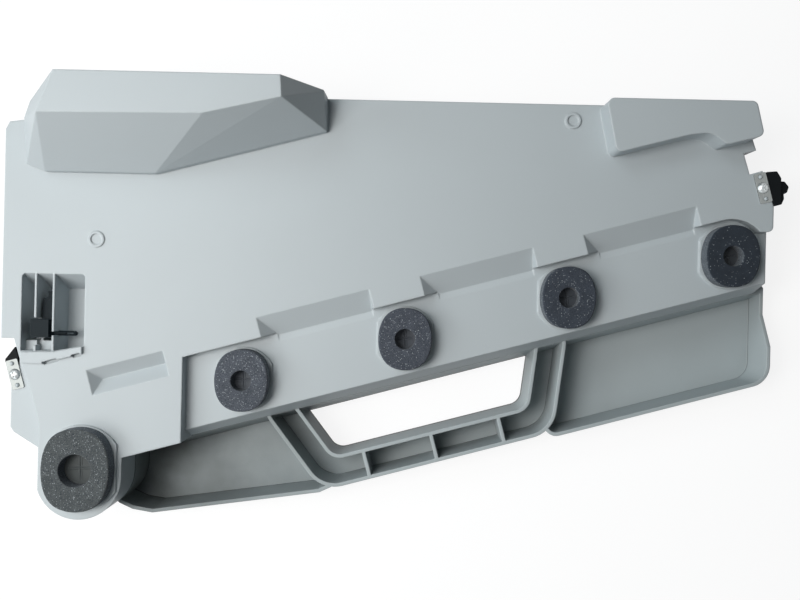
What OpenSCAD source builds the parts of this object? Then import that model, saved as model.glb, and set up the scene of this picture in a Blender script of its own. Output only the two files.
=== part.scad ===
// Waste toner tray of a colour printer, two moulded shells joined at one line.
// It lies on its user side. The port side faces up, and lengths are millimetres.
// "Row" means the slanted line through the four small ports. Along the row is u, across it is v.

/* [Levels] */
// Height of the joint line between the cover and the port shell
parting_z = 27; // [24:0.5:29]
// Height of the ledge that carries the four small ports
ledge_z = 42; // [40:0.5:46]
// Height of the main face
face_z = 50; // [49:0.5:56]
// Height of the long collecting block at the upper left
left_block_z = 94.5; // [70:0.5:110]
// Height of the collecting block at the upper right
right_block_z = 66; // [58:0.5:80]
// Thickness of every moulded wall
wall = 2.2; // [1.6:0.1:3]

/* [Port row] */
// Left to right place of the first small port
port_1_x = -92.8; // [-100:0.1:-85]
// Bottom to top place of the first small port
port_1_y = -49.8; // [-55:0.1:-45]
// Distance between two small ports
port_pitch = 100; // [92:0.5:108]
// Number of small ports
port_count = 4; // [4:1:4]
// Slant of the row
row_angle = 15.5; // [13:0.1:17]
// Bore of a small port
port_bore = 12; // [8:0.5:16]
// Bore of the large port
large_bore = 19; // [14:0.5:24]
// Large port, to the left of the first small one
large_left = 93.3; // [90:0.1:96]
// Large port, below the first small one
large_down = 53.4; // [51:0.1:56]
// Radius of the housing round the large port
housing_r = 25.4; // [25.2:0.1:28]

/* [Seals] */
// Diameter of a small foam seal
seal_d = 37; // [32:0.5:39]
// Width of a small foam seal across its two flats
seal_flats = 32; // [26:0.5:37]
// Diameter of the large foam seal
large_seal_d = 48.5; // [42:0.5:50]
// Width of the large foam seal across its two flats
large_seal_flats = 40; // [34:0.5:48]
// Thickness of the foam
seal_h = 8.5; // [5:0.5:12]
// Height of the moulded collar under the foam
collar_h = 1.5; // [1.2:0.1:3]
// Margin of the collar round the foam
collar_rim = 0.8; // [0.2:0.1:1.2]
// Thickness of the slit diaphragm between collar and foam
film_h = 0.5; // [0.3:0.1:0.8]
// Width of the diaphragm beyond the bore, on each side
film_margin = 3; // [2:0.5:4]
// Width of each cut of the cross slit
slit_w = 0.7; // [0.4:0.1:1.2]

/* [Outline] */
// Left edge, from the first small port
left_land = 142.7; // [140:0.5:150]
// Right edge, from the last small port
right_land = 23.7; // [23:0.5:30]
// Top edge, from the first small port
top_rise = 167.8; // [160:0.5:176]
// Drop of the shoulder at the upper left
shoulder_h = 16; // [12:0.5:20]
// Length of the shoulder
shoulder_w = 45.5; // [42:0.5:50]
// Step of the right edge beside the right block
right_step = 13.5; // [11:0.5:16]
// Width of the foot where the left edge ends below
foot_chamfer = 22; // [18:0.5:25]
// Height of the foot's corner below the top edge
foot_drop = 199.7; // [190:0.1:210]

/* [Collecting blocks] */
// Length of the left block at its base
left_block_l = 190.3; // [180:0.1:196]
// Width of the left block at its base
left_block_w = 47; // [44:0.1:50]
// Length of the right block
right_block_l = 89.7; // [84:0.1:94]
// Width of the right block at its left end
right_block_w = 31.2; // [28:0.1:33]

/* [Ledge] */
// Ledge above the middle of the row
ledge_up = 22; // [20:0.5:24]
// Ledge below the middle of the row
ledge_down = 21; // [20:0.5:23]
// Run of the sloped band below the ledge
band_run = 6; // [3:0.5:9]
// Run of the cover wall below the joint line
skirt_run = 6.4; // [2:0.1:9]
// Left end of the ledge, from the first small port
ledge_left = 35.2; // [30:0.5:40]
// Rise of the ledge edge to the right of the last port
ledge_tail = 14.8; // [10:0.2:18]

/* [Pockets] */
// Start of a pocket, from the port on its left
pocket_start = 17.5; // [14:0.5:22]
// Length of a pocket
pocket_w = 69; // [55:1:72]
// Reach of a pocket above the ledge edge
pocket_reach = 12; // [8:0.5:16]
// Run of the sloped left end of a pocket
pocket_end_run = 8.5; // [4:0.5:12]
// Run of the steep right end of a pocket
pocket_far_run = 1.5; // [0.5:0.1:3]
// Depth of a pocket below the ledge, where it runs out onto it
pocket_sink = 0.8; // [0.3:0.1:1.2]
// Run of the slope that brings the pocket back to the ledge
pocket_tail = 5; // [3:0.5:6]
// Depth of the lone pocket at the left
lone_depth = 7; // [4:0.5:7.5]
// Length of the lone pocket
lone_w = 44.7; // [36:0.5:48]
// Width of the lone pocket
lone_v = 15.5; // [12:0.5:18]

/* [Trays and grip] */
// Lower edge of the grip, from the middle of the row
grip_down = 80.5; // [77:0.5:84]
// Width of the channel inside the grip
grip_channel = 19.2; // [16:0.2:22]
// Start of the grip, from the first small port
grip_start = 4; // [0:0.5:8]
// Length of the grip where it meets the body
grip_w = 193.4; // [185:0.5:198]
// Slant of the grip's two legs, along the row
grip_lean = 22; // [16:0.5:26]
// Radius of the grip's outer corners
grip_r = 20; // [14:0.5:24]
// Radius of the grip opening's corners
grip_inner_r = 9; // [6:0.5:12]
// Spacing of the ribs in the grip
rib_pitch = 43.4; // [36:0.2:48]
// Number of ribs in the grip
rib_count = 3; // [1:1:3]
// Lower edge of the right tray, from the middle of the row
tray_down = 83.4; // [78:0.2:88]
// Bulge of the right tray past the right edge
tray_bulge = 12; // [8:0.5:16]
// Drop of the right tray's rim beside the body
tray_dip = 10.5; // [6:0.5:14]

/* [Level lever] */
// Width of the recess for the lever
recess_w = 37.4; // [35:0.1:40]
// Height of the recess, bottom to top
recess_h = 44; // [42:0.5:48]
// Level of the recess floor
recess_floor = 32; // [31:0.5:34]
// Run of the sloped upper wall of the recess
recess_run = 8.5; // [4:0.5:10]
// Diameter of the lever's shaft
shaft_d = 3; // [2.4:0.1:3.4]
// Running clearance round the shaft
shaft_gap = 0.08; // [0.05:0.01:0.1]
// Free length of the shaft beyond the lever's block
shaft_reach = 14.9; // [12:0.1:17]
// Width of the lever's block
block_w = 11; // [10:0.1:12]
// Length of the lever's block
block_l = 10.6; // [10:0.1:12]
// Length of the lever's arm
arm_l = 12.8; // [8:0.1:13.5]
// Width of the lever's arm at its tip
arm_w = 5; // [4:0.1:6]
// Length of the flag at the end of the arm
flag_l = 4.1; // [3:0.1:6]
// Thickness of the ribs that carry the lever
fin_w = 1.2; // [1:0.1:1.6]

/* [Catches] */
// Width of a catch plate
plate_w = 7.2; // [6.6:0.1:8]
// Length of a catch plate
plate_l = 18; // [17:0.5:20]
// Thickness of a catch plate
plate_h = 0.8; // [0.5:0.1:1.2]
// Diameter of a catch screw's thread
screw_d = 3; // [2.5:0.1:3.5]
// Diameter of a catch screw's head
screw_head_d = 6.8; // [6:0.1:7.2]
// Length of a catch screw below its head
screw_l = 9; // [7:0.5:12]
// Height of a catch block
catch_h = 16; // [12:0.5:20]

/* [Hidden] */
$fn = 48;

// Small overshoot of a cut past the face it opens
over = 1;
// Cuts that must pass every level reach this far above the main face
clear_h = 6;
far = 300;

port_1 = [port_1_x, port_1_y];
last_port = row(port_pitch * (port_count - 1), 0);
large_port = port_1 - [large_left, large_down];
left_x = port_1_x - left_land;
right_x = last_port[0] + right_land;
top_y = port_1_y + top_rise;
top_right_x = right_x - right_step;
shoulder_y = top_y - shoulder_h;
ledge_x = port_1_x - ledge_left;
edge_v = -(ledge_down + band_run);
skirt_v = edge_v - skirt_run;

function row(u, v) = port_1 + [u * cos(row_angle) - v * sin(row_angle),
                               u * sin(row_angle) + v * cos(row_angle)];
// Height of the line v above the point x
function row_y(x, v) = port_1_y + (x - port_1_x) * tan(row_angle) + v / cos(row_angle);
function arc(centre, r, from, to, steps) =
    [for (i = [0:steps]) centre + r * [cos(from + (to - from) * i / steps),
                                       sin(from + (to - from) * i / steps)]];

// Notches in the two side edges, where the catches sit
left_notch_y = top_y - 145.7;
left_notch_w = 7.6;
left_notch_corner = [left_x + 11, left_notch_y - 11.5];
right_notch_y = top_y - 24.6;
right_notch_h = 12.6;
right_lug_y = top_y - 58;
right_neck_y = top_y - 17.8;

// Where the left block's back meets the shoulder
back_corner = [left_x + 15.9, top_y - 6.4];

// Shadow gap round the joint line
seam_h = 1.25;
seam_depth = 0.9;
joint_step = 0.3;
lip_h = 2;
stud_r = 1.15;
stud_offset = 6.7;
face_corner_r = 3.2;

// Foot at the lower left, one step below the main face
foot_y = top_y - foot_drop;
foot_slope = 0.62;
foot_x = left_x + 2.3;
foot_low_y = foot_y - foot_slope * foot_chamfer;

housing = large_port - [2.1, 5.8];
housing_left = housing[0] - housing_r;
housing_right = housing[0] + housing_r;
foot_end_x = housing_left + 1.4;

left_plate = [left_x + 4.5, top_y - 168, ledge_z];
right_plate = [right_x - 6.9, top_y - 46.9, face_z];

recess_x = left_x + 11.5;
recess_y = top_y - 107;
recess_low_y = recess_y - recess_h;
recess_corner = 2.5;
shelf_z = ledge_z + 2;

shaft_y = recess_y - 35.5;
shaft_z = 43;
block_x = recess_x + 4.7;
block_back = 2.4;
block_top = 6;
block_drop = 5;
fin_1_x = recess_x + 7.7;
fin_2_x = recess_x + 18.3;
eye_r = 2.9;
catch_gap = 0.05;

module along_row(u) {
    translate([port_1_x, port_1_y, 0])
        rotate([0, 0, row_angle])
            translate([u, 0, 0])
                children();
}

// Prism along the row: its section is drawn as (v, z)
module bar_u(from, to) {
    translate([from, 0, 0])
        rotate([90, 0, 90])
            linear_extrude(to - from)
                children();
}

// Prism across the row: its section is drawn as (u, z)
module bar_v(from, to) {
    translate([0, to, 0])
        rotate([90, 0, 0])
            linear_extrude(to - from)
                children();
}

module grown(by) {
    if (by == 0) children();
    else offset(delta = by) children();
}

module softened(r) {
    offset(r = r) offset(delta = -r) children();
}

// Rounds the inward corners too
module flowing(r, inward_r) {
    softened(r) offset(r = -inward_r) offset(delta = inward_r) children();
}

// Plan of the closed chamber, the same for both shells at the joint line
module body_plan() {
    difference() {
        polygon(concat(
            [
                [left_x, shoulder_y - 6],
                [left_x + 2.3, shoulder_y - 1.5],
                [left_x + 12.8, shoulder_y],
                back_corner,
                [left_x + shoulder_w, top_y],
                [top_right_x, top_y],
                [top_right_x, right_neck_y],
                [right_x, right_lug_y],
                [right_x, row_y(right_x, edge_v)],
                [housing_right, row_y(housing_right, edge_v)]
            ],
            arc(housing, housing_r, 0, -180, 40),
            [
                [housing_left, foot_low_y],
                [foot_x + 2.1, foot_y - 3],
                [foot_x, foot_y],
                [foot_x, foot_y + 25],
                [left_x, foot_y + 38]
            ]
        ));
        left_notch();
        right_notch();
    }
}

module left_notch() {
    polygon([
        [left_x - 3 * over, left_notch_y],
        [left_x + left_notch_w, left_notch_y],
        left_notch_corner,
        left_notch_corner - [4.1, 1.1],
        left_notch_corner - [4.1, 6.8],
        left_notch_corner - [6.4, 6.8],
        left_notch_corner - [6.4, 1.7],
        left_notch_corner - [14, 3.8]
    ]);
}

module right_notch() {
    polygon([
        [right_x + over, right_notch_y + 3],
        [top_right_x - 5, right_notch_y - 2],
        [top_right_x - 1.2, right_notch_y - right_notch_h - 1.8],
        [right_x + over, right_notch_y - right_notch_h + 3]
    ]);
}

// Plan of the ledge, open below and to the right
module ledge_plan() {
    corner = [right_x - face_corner_r, last_port[1] + ledge_tail + face_corner_r];
    polygon(concat(
        [[ledge_x, row_y(ledge_x, ledge_up)]],
        arc(last_port, ledge_up, 90 + row_angle, asin(ledge_tail / ledge_up), 12),
        arc(corner, face_corner_r, -90, 0, 6),
        [[right_x + far, corner[1]], [right_x + far, -far], [ledge_x, -far]]
    ));
}

// What lies above the ledge, and outside its sloped lower band
module ledge_cut(t) {
    translate([0, 0, ledge_z - t])
        linear_extrude(face_z + clear_h - ledge_z + t)
            grown(t) ledge_plan();
    lean = band_run / (ledge_z - parting_z);
    intersection() {
        translate([0, 0, parting_z - 2 * over])
            linear_extrude(ledge_z - parting_z + 3 * over)
                grown(t) ledge_plan();
        along_row(0)
            bar_u(-far, 2 * far)
                grown(t) polygon([
                    [-ledge_down + lean * clear_h, ledge_z + clear_h],
                    [edge_v - lean * 4 * over, parting_z - 4 * over],
                    [edge_v - 60, parting_z - 4 * over],
                    [edge_v - 60, ledge_z + clear_h]
                ]);
    }
}

// Sloped pocket that opens onto the ledge, and runs out on it a little lower
module ledge_pocket(t) {
    depth = face_z - ledge_z;
    rise = 4;
    low_z = ledge_z - clear_h;
    slope = pocket_reach / depth;
    intersection() {
        bar_u(-2 * clear_h, pocket_w + 2 * clear_h)
            grown(t) polygon([
                [ledge_up + slope * (depth + rise), face_z + rise],
                [ledge_up - slope * pocket_sink, ledge_z - pocket_sink],
                [ledge_up - pocket_tail, ledge_z],
                [ledge_up - pocket_tail - over, ledge_z],
                [ledge_up - pocket_tail - over, face_z + rise]
            ]);
        bar_v(ledge_up - 2 * clear_h, ledge_up + pocket_reach + 2 * clear_h)
            grown(t) polygon([
                [-pocket_end_run * rise / depth, face_z + rise],
                [pocket_end_run * (1 + clear_h / depth), low_z],
                [pocket_w - pocket_far_run * (1 + clear_h / depth), low_z],
                [pocket_w + pocket_far_run * rise / depth, face_z + rise]
            ]);
    }
}

// Lone pocket with a V section, to the left of the ledge
module lone_pocket(t) {
    rise = 4;
    reach = 1 + rise / lone_depth;
    low_z = face_z - lone_depth;
    intersection() {
        bar_u(-clear_h, lone_w + clear_h)
            grown(t) polygon([
                [lone_v / 2 * reach, face_z + rise],
                [0, low_z],
                [-lone_v / 2 * reach, face_z + rise]
            ]);
        bar_v(-lone_v, lone_v)
            grown(t) polygon([
                [-pocket_end_run * rise / lone_depth, face_z + rise],
                [pocket_end_run, low_z - clear_h],
                [lone_w - pocket_far_run, low_z - clear_h],
                [lone_w + pocket_far_run * rise / lone_depth, face_z + rise]
            ]);
    }
}

module pockets(t) {
    for (i = [0:port_count - 2])
        along_row(port_pitch * i + pocket_start) ledge_pocket(t);
    along_row(pocket_start - port_pitch - 3.5)
        translate([0, ledge_up - 1.2, 0])
            lone_pocket(t);
}

module recess_plan() {
    corner = [recess_corner, -recess_corner];
    polygon(concat(
        arc([recess_x, recess_y] + corner, recess_corner, 180, 90, 6),
        arc([recess_x + recess_w, recess_y] - [recess_corner, recess_corner], recess_corner, 90, 0, 6),
        [
            [recess_x + recess_w, recess_low_y + 1.8],
            [recess_x + recess_w - 16.6, recess_low_y - 1.6],
            [recess_x, recess_low_y - 2]
        ]
    ));
}

module recess(t) {
    depth = face_z - recess_floor;
    intersection() {
        translate([0, 0, recess_floor - t])
            linear_extrude(depth + clear_h + t)
                grown(t) recess_plan();
        translate([recess_x - clear_h, recess_y, 0])
            bar_u(0, recess_w + 2 * clear_h)
                grown(t) polygon([
                    [recess_run * clear_h / depth, face_z + clear_h],
                    [-recess_run, recess_floor],
                    [-recess_h - 2 * clear_h, recess_floor],
                    [-recess_h - 2 * clear_h, face_z + clear_h]
                ]);
    }
}

// Step down to the foot, which carries the left catch
module foot_step(t) {
    translate([0, 0, ledge_z - t])
        linear_extrude(face_z + clear_h - ledge_z + t)
            grown(t) polygon([
                left_notch_corner,
                [left_x + 17.6, foot_y + 24.4],
                [left_x + 20.8, foot_y + 14],
                [foot_end_x, foot_y + 3.7],
                [foot_end_x, housing[1] - housing_r],
                [left_x - 4 * over, housing[1] - housing_r],
                [left_x - 4 * over, left_notch_corner[1]]
            ]);
}

// Left collecting block: its top outline blends into a wider base
module left_block(t) {
    base_h = 4;
    corner_h = 18;
    end_x = left_x + left_block_l;
    low_y = top_y - left_block_w;
    hull() {
        translate([0, 0, left_block_z - t - over])
            linear_extrude(over)
                offset(delta = -t)
                    polygon([
                        [left_x + shoulder_w + 3.5, top_y],
                        [end_x - 20.9, top_y],
                        [end_x - 20.1, top_y - 11.6],
                        [end_x - 61.5, top_y - 21.2],
                        [left_x + shoulder_w - 5.2, top_y - 22.5]
                    ]);
        translate([0, 0, face_z - 2 * wall - t])
            linear_extrude(base_h + 2 * wall)
                offset(delta = -t)
                    polygon([
                        [left_x + 12.8, shoulder_y],
                        back_corner,
                        [left_x + shoulder_w, top_y],
                        [end_x, top_y],
                        [end_x, top_y - 20],
                        [end_x - 100, low_y],
                        [left_x + 25.6, low_y],
                        [left_x + 14.7, low_y + 4]
                    ]);
        // Upright corner at the right of the back
        translate([end_x - 0.7 - t - over, top_y - t - over, face_z - t])
            linear_extrude(corner_h)
                square(over);
    }
}

module right_block_plan() {
    start_x = top_right_x - right_block_l;
    flowing(3.5, 12)
        polygon([
            [start_x, top_y],
            [top_right_x - 5.6, top_y],
            [top_right_x - 0.9, top_y - 19.6],
            [top_right_x - 22, top_y - 25.1],
            [top_right_x - 31.5, top_y - 18.3],
            [top_right_x - 44, top_y - 20.2],
            [start_x + 5, top_y - right_block_w],
            [start_x - 0.7, top_y - 4]
        ]);
}

module right_block(t) {
    translate([0, 0, face_z - 2 * wall - t])
        linear_extrude(right_block_z - face_z + 2 * wall)
            grown(-t) right_block_plan();
}

// Outer form of the port shell, or its hollow when t is the wall
module port_form(t) {
    low_z = t == 0 ? parting_z : parting_z - over;
    difference() {
        union() {
            translate([0, 0, low_z])
                linear_extrude(face_z - t - low_z)
                    grown(-t) body_plan();
            left_block(t);
            right_block(t);
        }
        ledge_cut(t);
        pockets(t);
        recess(t);
        foot_step(t);
    }
}

module double_d(d, flats) {
    intersection() {
        circle(d = d, $fn = 96);
        square([flats, d + 1], center = true);
    }
}

// Everything that repeats at each port stands on that port's own level
module at_port(i) {
    if (i < port_count)
        translate(concat(row(port_pitch * i, 0), ledge_z)) children();
    else
        translate(concat(large_port, face_z)) children();
}

function bore_of(i) = i < port_count ? port_bore : large_bore;
function seal_d_of(i) = i < port_count ? seal_d : large_seal_d;
function flats_of(i) = i < port_count ? seal_flats : large_seal_flats;
function film_d_of(i) = bore_of(i) + 2 * film_margin;

module collar(i) {
    at_port(i)
        translate([0, 0, -wall / 2])
            linear_extrude(collar_h + wall / 2)
                double_d(seal_d_of(i) + 2 * collar_rim, flats_of(i) + 2 * collar_rim);
}

module port_hole(i) {
    at_port(i) {
        translate([0, 0, -2 * wall])
            cylinder(d = bore_of(i), h = 2 * wall + collar_h + over, $fn = 64);
        translate([0, 0, collar_h - film_h])
            cylinder(d = film_d_of(i), h = film_h + over, $fn = 64);
    }
}

// Ring left by the mould's ejector sleeve
module ring_boss(place) {
    translate([place[0], place[1], face_z - wall / 2])
        difference() {
            cylinder(d = 9.6, h = wall / 2 + 0.7);
            cylinder(d = 6.4, h = wall);
        }
}

module catch_studs(place) {
    translate(place)
        rotate([0, 0, row_angle])
            for (side = [-1, 1])
                translate([0, side * stud_offset, -over]) {
                    cylinder(r = stud_r, h = over + plate_h);
                    translate([0, 0, over + plate_h]) sphere(r = stud_r);
                }
}

// Post inside the shell that takes a catch screw
module screw_post(place) {
    translate([place[0], place[1], parting_z])
        cylinder(d = screw_d + 5, h = place[2] - parting_z);
}

module screw_pilot(place) {
    translate(place - [0, 0, screw_l + 2 * over])
        cylinder(d = screw_d + 0.1, h = screw_l + 3 * over, $fn = 48);
}

// Thin ribs across the recess, snapped open where the lever's shaft drops in
module lever_fins() {
    difference() {
        intersection() {
            recess(0);
            union() {
                fin(fin_1_x);
                fin(fin_2_x);
                lever_shelf();
            }
        }
        translate([fin_1_x - over, shaft_y - block_back - 1, shaft_z - 4])
            cube([fin_w + 2 * over, block_l + 2, far]);
        translate([fin_1_x - over, shaft_y - 3 * block_back, shaft_z - 2])
            cube([fin_w + 2 * over, 3 * block_back, far]);
        shaft_seat(fin_2_x);
    }
    difference() {
        translate([fin_1_x, shaft_y - eye_r, recess_floor - over]) {
            cube([fin_w, 2 * eye_r, shaft_z - recess_floor + over]);
            translate([0, eye_r, shaft_z - recess_floor + over])
                rotate([0, 90, 0]) cylinder(r = eye_r, h = fin_w);
        }
        shaft_seat(fin_1_x);
    }
}

module fin(x) {
    translate([x, recess_y - recess_h - clear_h, recess_floor - over])
        cube([fin_w, recess_h + 2 * clear_h, face_z - recess_floor + over]);
}

// Raised floor below the lever's block
module lever_shelf() {
    shelf_gap = 4.6;
    low_y = recess_low_y - clear_h;
    translate([recess_x - over, low_y, recess_floor - over])
        cube([
            fin_2_x + fin_w / 2 - recess_x + over,
            shaft_y - shelf_gap - low_y,
            shelf_z - recess_floor + over
        ]);
}

module shaft_seat(x) {
    mouth = shaft_d * 0.8;
    translate([x - over, shaft_y, shaft_z]) {
        rotate([0, 90, 0]) cylinder(d = shaft_d + 2 * shaft_gap, h = fin_w + 2 * over, $fn = 48);
        translate([0, -mouth / 2, 0]) cube([fin_w + 2 * over, mouth, far]);
    }
}

// Lip under the recess, raised a little, with two shallow slots below it
module recess_lip() {
    translate([0, 0, face_z - over])
        linear_extrude(over + lip_h)
            polygon([
                [recess_x + 0.8, recess_low_y - 2.7],
                [recess_x + recess_w - 16.5, recess_low_y - 2.1],
                [recess_x + recess_w - 0.4, recess_low_y + 1.2],
                [recess_x + recess_w - 0.4, recess_low_y - 3],
                [recess_x + 22.4, recess_low_y - 6.9],
                [recess_x + 14, recess_low_y - 9.4],
                [recess_x + 0.8, recess_low_y - 9.2]
            ]);
}

module lip_slots() {
    for (slot = [[18.2, -8, 8.9], [33.4, -4, 5]])
        translate([recess_x + slot[0], recess_low_y + slot[1], face_z - 1.4])
            rotate([0, 0, row_angle])
                translate([-slot[2] / 2, -0.9, 0])
                    cube([slot[2], 1.8, 2 * lip_h + over]);
}

// Pad on the recess floor that stops the lever's block
module lever_stop() {
    seat_gap = 0.3;
    translate([fin_1_x + fin_w + 1.5, shaft_y + block_l - block_back - 4, recess_floor - over])
        cube([3, 2.6, shaft_z - block_drop - seat_gap - recess_floor + over]);
}

module joint_groove() {
    translate([0, 0, parting_z - over])
        linear_extrude(over + seam_h)
            difference() {
                offset(delta = 2 * over) body_plan();
                offset(delta = -seam_depth) body_plan();
            }
}

module port_shell() {
    color("#b9c3c6")
        difference() {
            union() {
                difference() {
                    port_form(0);
                    difference() {
                        port_form(wall);
                        screw_post(left_plate);
                        screw_post(right_plate);
                    }
                }
                for (i = [0:port_count]) collar(i);
                ring_boss([left_x + 55, top_y - 86.1]);
                ring_boss([top_right_x - 106.5, top_y - 9.7]);
                catch_studs(left_plate);
                catch_studs(right_plate);
                lever_fins();
                lever_stop();
                recess_lip();
            }
            lip_slots();
            joint_groove();
            for (i = [0:port_count]) port_hole(i);
            screw_pilot(left_plate);
            screw_pilot(right_plate);
        }
}

// Plan of the grip, drawn in the row's own frame
module grip_plan(inset, r) {
    softened(r)
        offset(delta = -inset)
            polygon([
                [grip_start, ledge_down],
                [grip_start, edge_v],
                [grip_start + grip_lean, -grip_down],
                [grip_start + grip_w - grip_lean, -grip_down],
                [grip_start + grip_w, edge_v],
                [grip_start + grip_w, ledge_down]
            ]);
}

module grip_outer() {
    grip_plan(0, grip_r);
}

module grip_inner() {
    grip_plan(grip_channel, grip_inner_r);
}

module left_tray_plan() {
    low_left = large_port + [22, -31];
    softened(4)
        polygon([
            large_port,
            low_left + [-9, 4],
            low_left,
            low_left + [12.5, -2],
            low_left + [116.5, 13],
            row(grip_start + 31, -grip_down + 1.5),
            row(grip_start + 31, 0)
        ]);
}

module right_tray_plan() {
    start_u = grip_start + grip_w - 27;
    end_x = right_x + tray_bulge;
    left_r = 8;
    right_r = 14;
    polygon(concat(
        [row(start_u, 0)],
        arc(row(start_u + left_r, left_r - tray_down), left_r, 180 + row_angle, 270 + row_angle, 8),
        arc([end_x - right_r, row_y(end_x - right_r, right_r - tray_down)], right_r, row_angle - 90, 0, 12),
        [[end_x, row_y(right_x, edge_v) + 4], [right_x - 10, row_y(right_x, 0)]]
    ));
}

// The right tray's rim slopes down to a lower level beside the body
module rim_dip() {
    high_y = top_y - 142;
    low_y = high_y + 20;
    low_z = parting_z - tray_dip;
    lean = tray_dip / (low_y - high_y);
    translate([right_x, 0, 0])
        rotate([90, 0, 90])
            linear_extrude(tray_bulge + over)
                polygon([
                    [high_y - over, parting_z + over * lean],
                    [low_y, low_z],
                    [low_y + 60, low_z],
                    [low_y + 60, parting_z + 2 * over],
                    [high_y - over, parting_z + 2 * over]
                ]);
}

module cover_plan() {
    body_plan();
    left_tray_plan();
    right_tray_plan();
    along_row(0) grip_outer();
}

// Wall between the chamber and the trays leans outwards towards the floor
module skirt(inset) {
    first_x = housing_right - port_1_x - wall / 2;
    first_u = first_x / cos(row_angle) + (edge_v + skirt_v) / 2 * tan(row_angle);
    last_u = (right_x - port_1_x - 2 * wall) / cos(row_angle) + edge_v * tan(row_angle);
    lean = skirt_run / parting_z;
    face_v = edge_v + joint_step + inset;
    along_row(0)
        bar_u(first_u + inset, inset == 0 ? 2 * last_u : last_u)
            polygon([
                [face_v + 2 * over * lean, parting_z + 2 * over],
                [face_v - (parting_z + 2 * over) * lean, -2 * over],
                [edge_v + wall + over, -2 * over],
                [edge_v + wall + over, parting_z + 2 * over]
            ]);
}

module chamber_hollow() {
    translate([0, 0, wall])
        linear_extrude(parting_z)
            offset(delta = -wall) body_plan();
    intersection() {
        translate([-far, -far, wall]) cube([2 * far, 2 * far, parting_z]);
        skirt(wall);
    }
}

module cover() {
    color("#b4bec1")
        difference() {
            union() {
                difference() {
                    linear_extrude(parting_z) cover_plan();
                    translate([0, 0, wall]) linear_extrude(parting_z) tray_hollows();
                    translate([0, 0, -over])
                        linear_extrude(parting_z + 2 * over)
                            grip_hole();
                }
                intersection() {
                    linear_extrude(parting_z) cover_plan();
                    skirt(0);
                }
            }
            chamber_hollow();
            rim_dip();
        }
}

module tray_hollows() {
    difference() {
        union() {
            offset(delta = -wall) left_tray_plan();
            offset(delta = -wall) right_tray_plan();
        }
        body_plan();
        along_row(0) grip_outer();
    }
    difference() {
        along_row(0)
            difference() {
                offset(delta = -wall) grip_outer();
                offset(delta = wall) grip_inner();
                for (i = [0:rib_count - 1])
                    translate([grip_start + grip_w / 2 + (i - (rib_count - 1) / 2) * rib_pitch, 0])
                        translate([-wall / 2, -far]) square([wall, far]);
            }
        body_plan();
    }
}

module grip_hole() {
    difference() {
        along_row(0) grip_inner();
        body_plan();
    }
}

module foam_seal(i) {
    color("#4b5053")
        at_port(i)
            translate([0, 0, collar_h])
                difference() {
                    linear_extrude(seal_h) double_d(seal_d_of(i), flats_of(i));
                    translate([0, 0, -over])
                        cylinder(d = bore_of(i), h = seal_h + 2 * over, $fn = 64);
                }
}

module diaphragm(i) {
    cut = bore_of(i) * 0.8;
    color("#26292b")
        at_port(i)
            translate([0, 0, collar_h - film_h])
                difference() {
                    cylinder(d = film_d_of(i), h = film_h, $fn = 64);
                    for (turn = [0, 90])
                        rotate([0, 0, turn])
                            translate([-cut / 2, -slit_w / 2, -over])
                                cube([cut, slit_w, film_h + 2 * over]);
                }
}

module level_lever() {
    slot_w = fin_w + 1.6;
    block_y = shaft_y - block_back;
    color("#202426")
        difference() {
            union() {
                translate([block_x, block_y, shaft_z - block_drop])
                    cube([block_w, block_l, block_drop + block_top]);
                translate([block_x + block_w, block_y + block_l, shaft_z - 2])
                    linear_extrude(4)
                        polygon([
                            [0, -over],
                            [0, arm_l],
                            [-arm_w, arm_l],
                            [-arm_w - 1.3, 0],
                            [-arm_w - 1.3, -over]
                        ]);
                translate([block_x + block_w - arm_w + 1.9, block_y + block_l + arm_l - over, shaft_z - 2])
                    cube([arm_w / 2 - 0.2, flag_l + over, 2.6]);
                translate([block_x, shaft_y, shaft_z])
                    rotate([0, 90, 0]) {
                        cylinder(d = shaft_d, h = block_w + shaft_reach - shaft_d / 2, $fn = 48);
                        translate([0, 0, block_w + shaft_reach - shaft_d / 2])
                            sphere(d = shaft_d);
                    }
            }
            difference() {
                translate([fin_1_x - 0.8, block_y - over, shaft_z - block_drop - over])
                    cube([slot_w, block_l + 2 * over, block_drop + over + 3.3]);
                translate([block_x, shaft_y, shaft_z])
                    rotate([0, 90, 0]) cylinder(d = shaft_d, h = block_w, $fn = 48);
            }
            translate([block_x + block_w + shaft_reach - 7, shaft_y - 0.4, shaft_z - shaft_d])
                cube([5, 0.8, 2 * shaft_d]);
        }
}

module catch_plate(place) {
    color("#c9cdd0")
        translate(place)
            rotate([0, 0, row_angle])
                difference() {
                    linear_extrude(plate_h)
                        softened(0.8) square([plate_w, plate_l], center = true);
                    translate([0, 0, -over]) {
                        cylinder(d = screw_d + 0.4, h = plate_h + 2 * over, $fn = 48);
                        for (side = [-1, 1])
                            translate([0, side * stud_offset, 0])
                                cylinder(r = stud_r + 0.15, h = plate_h + 2 * over, $fn = 32);
                    }
                }
}

module catch_screw(place) {
    head_h = 2;
    dome_r = (pow(screw_head_d / 2, 2) + head_h * head_h) / (2 * head_h);
    color("#d5d8da")
        translate(place + [0, 0, plate_h])
            rotate([0, 0, row_angle])
                difference() {
                    union() {
                        translate([0, 0, -screw_l]) cylinder(d = screw_d, h = screw_l + 0.2, $fn = 48);
                        intersection() {
                            cylinder(d = screw_head_d, h = head_h);
                            translate([0, 0, head_h - dome_r]) sphere(r = dome_r);
                        }
                    }
                    for (turn = [0, 90])
                        rotate([0, 0, turn])
                            translate([-1.7, -0.45, head_h - 1.1]) cube([3.4, 0.9, 2]);
                }
}

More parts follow.
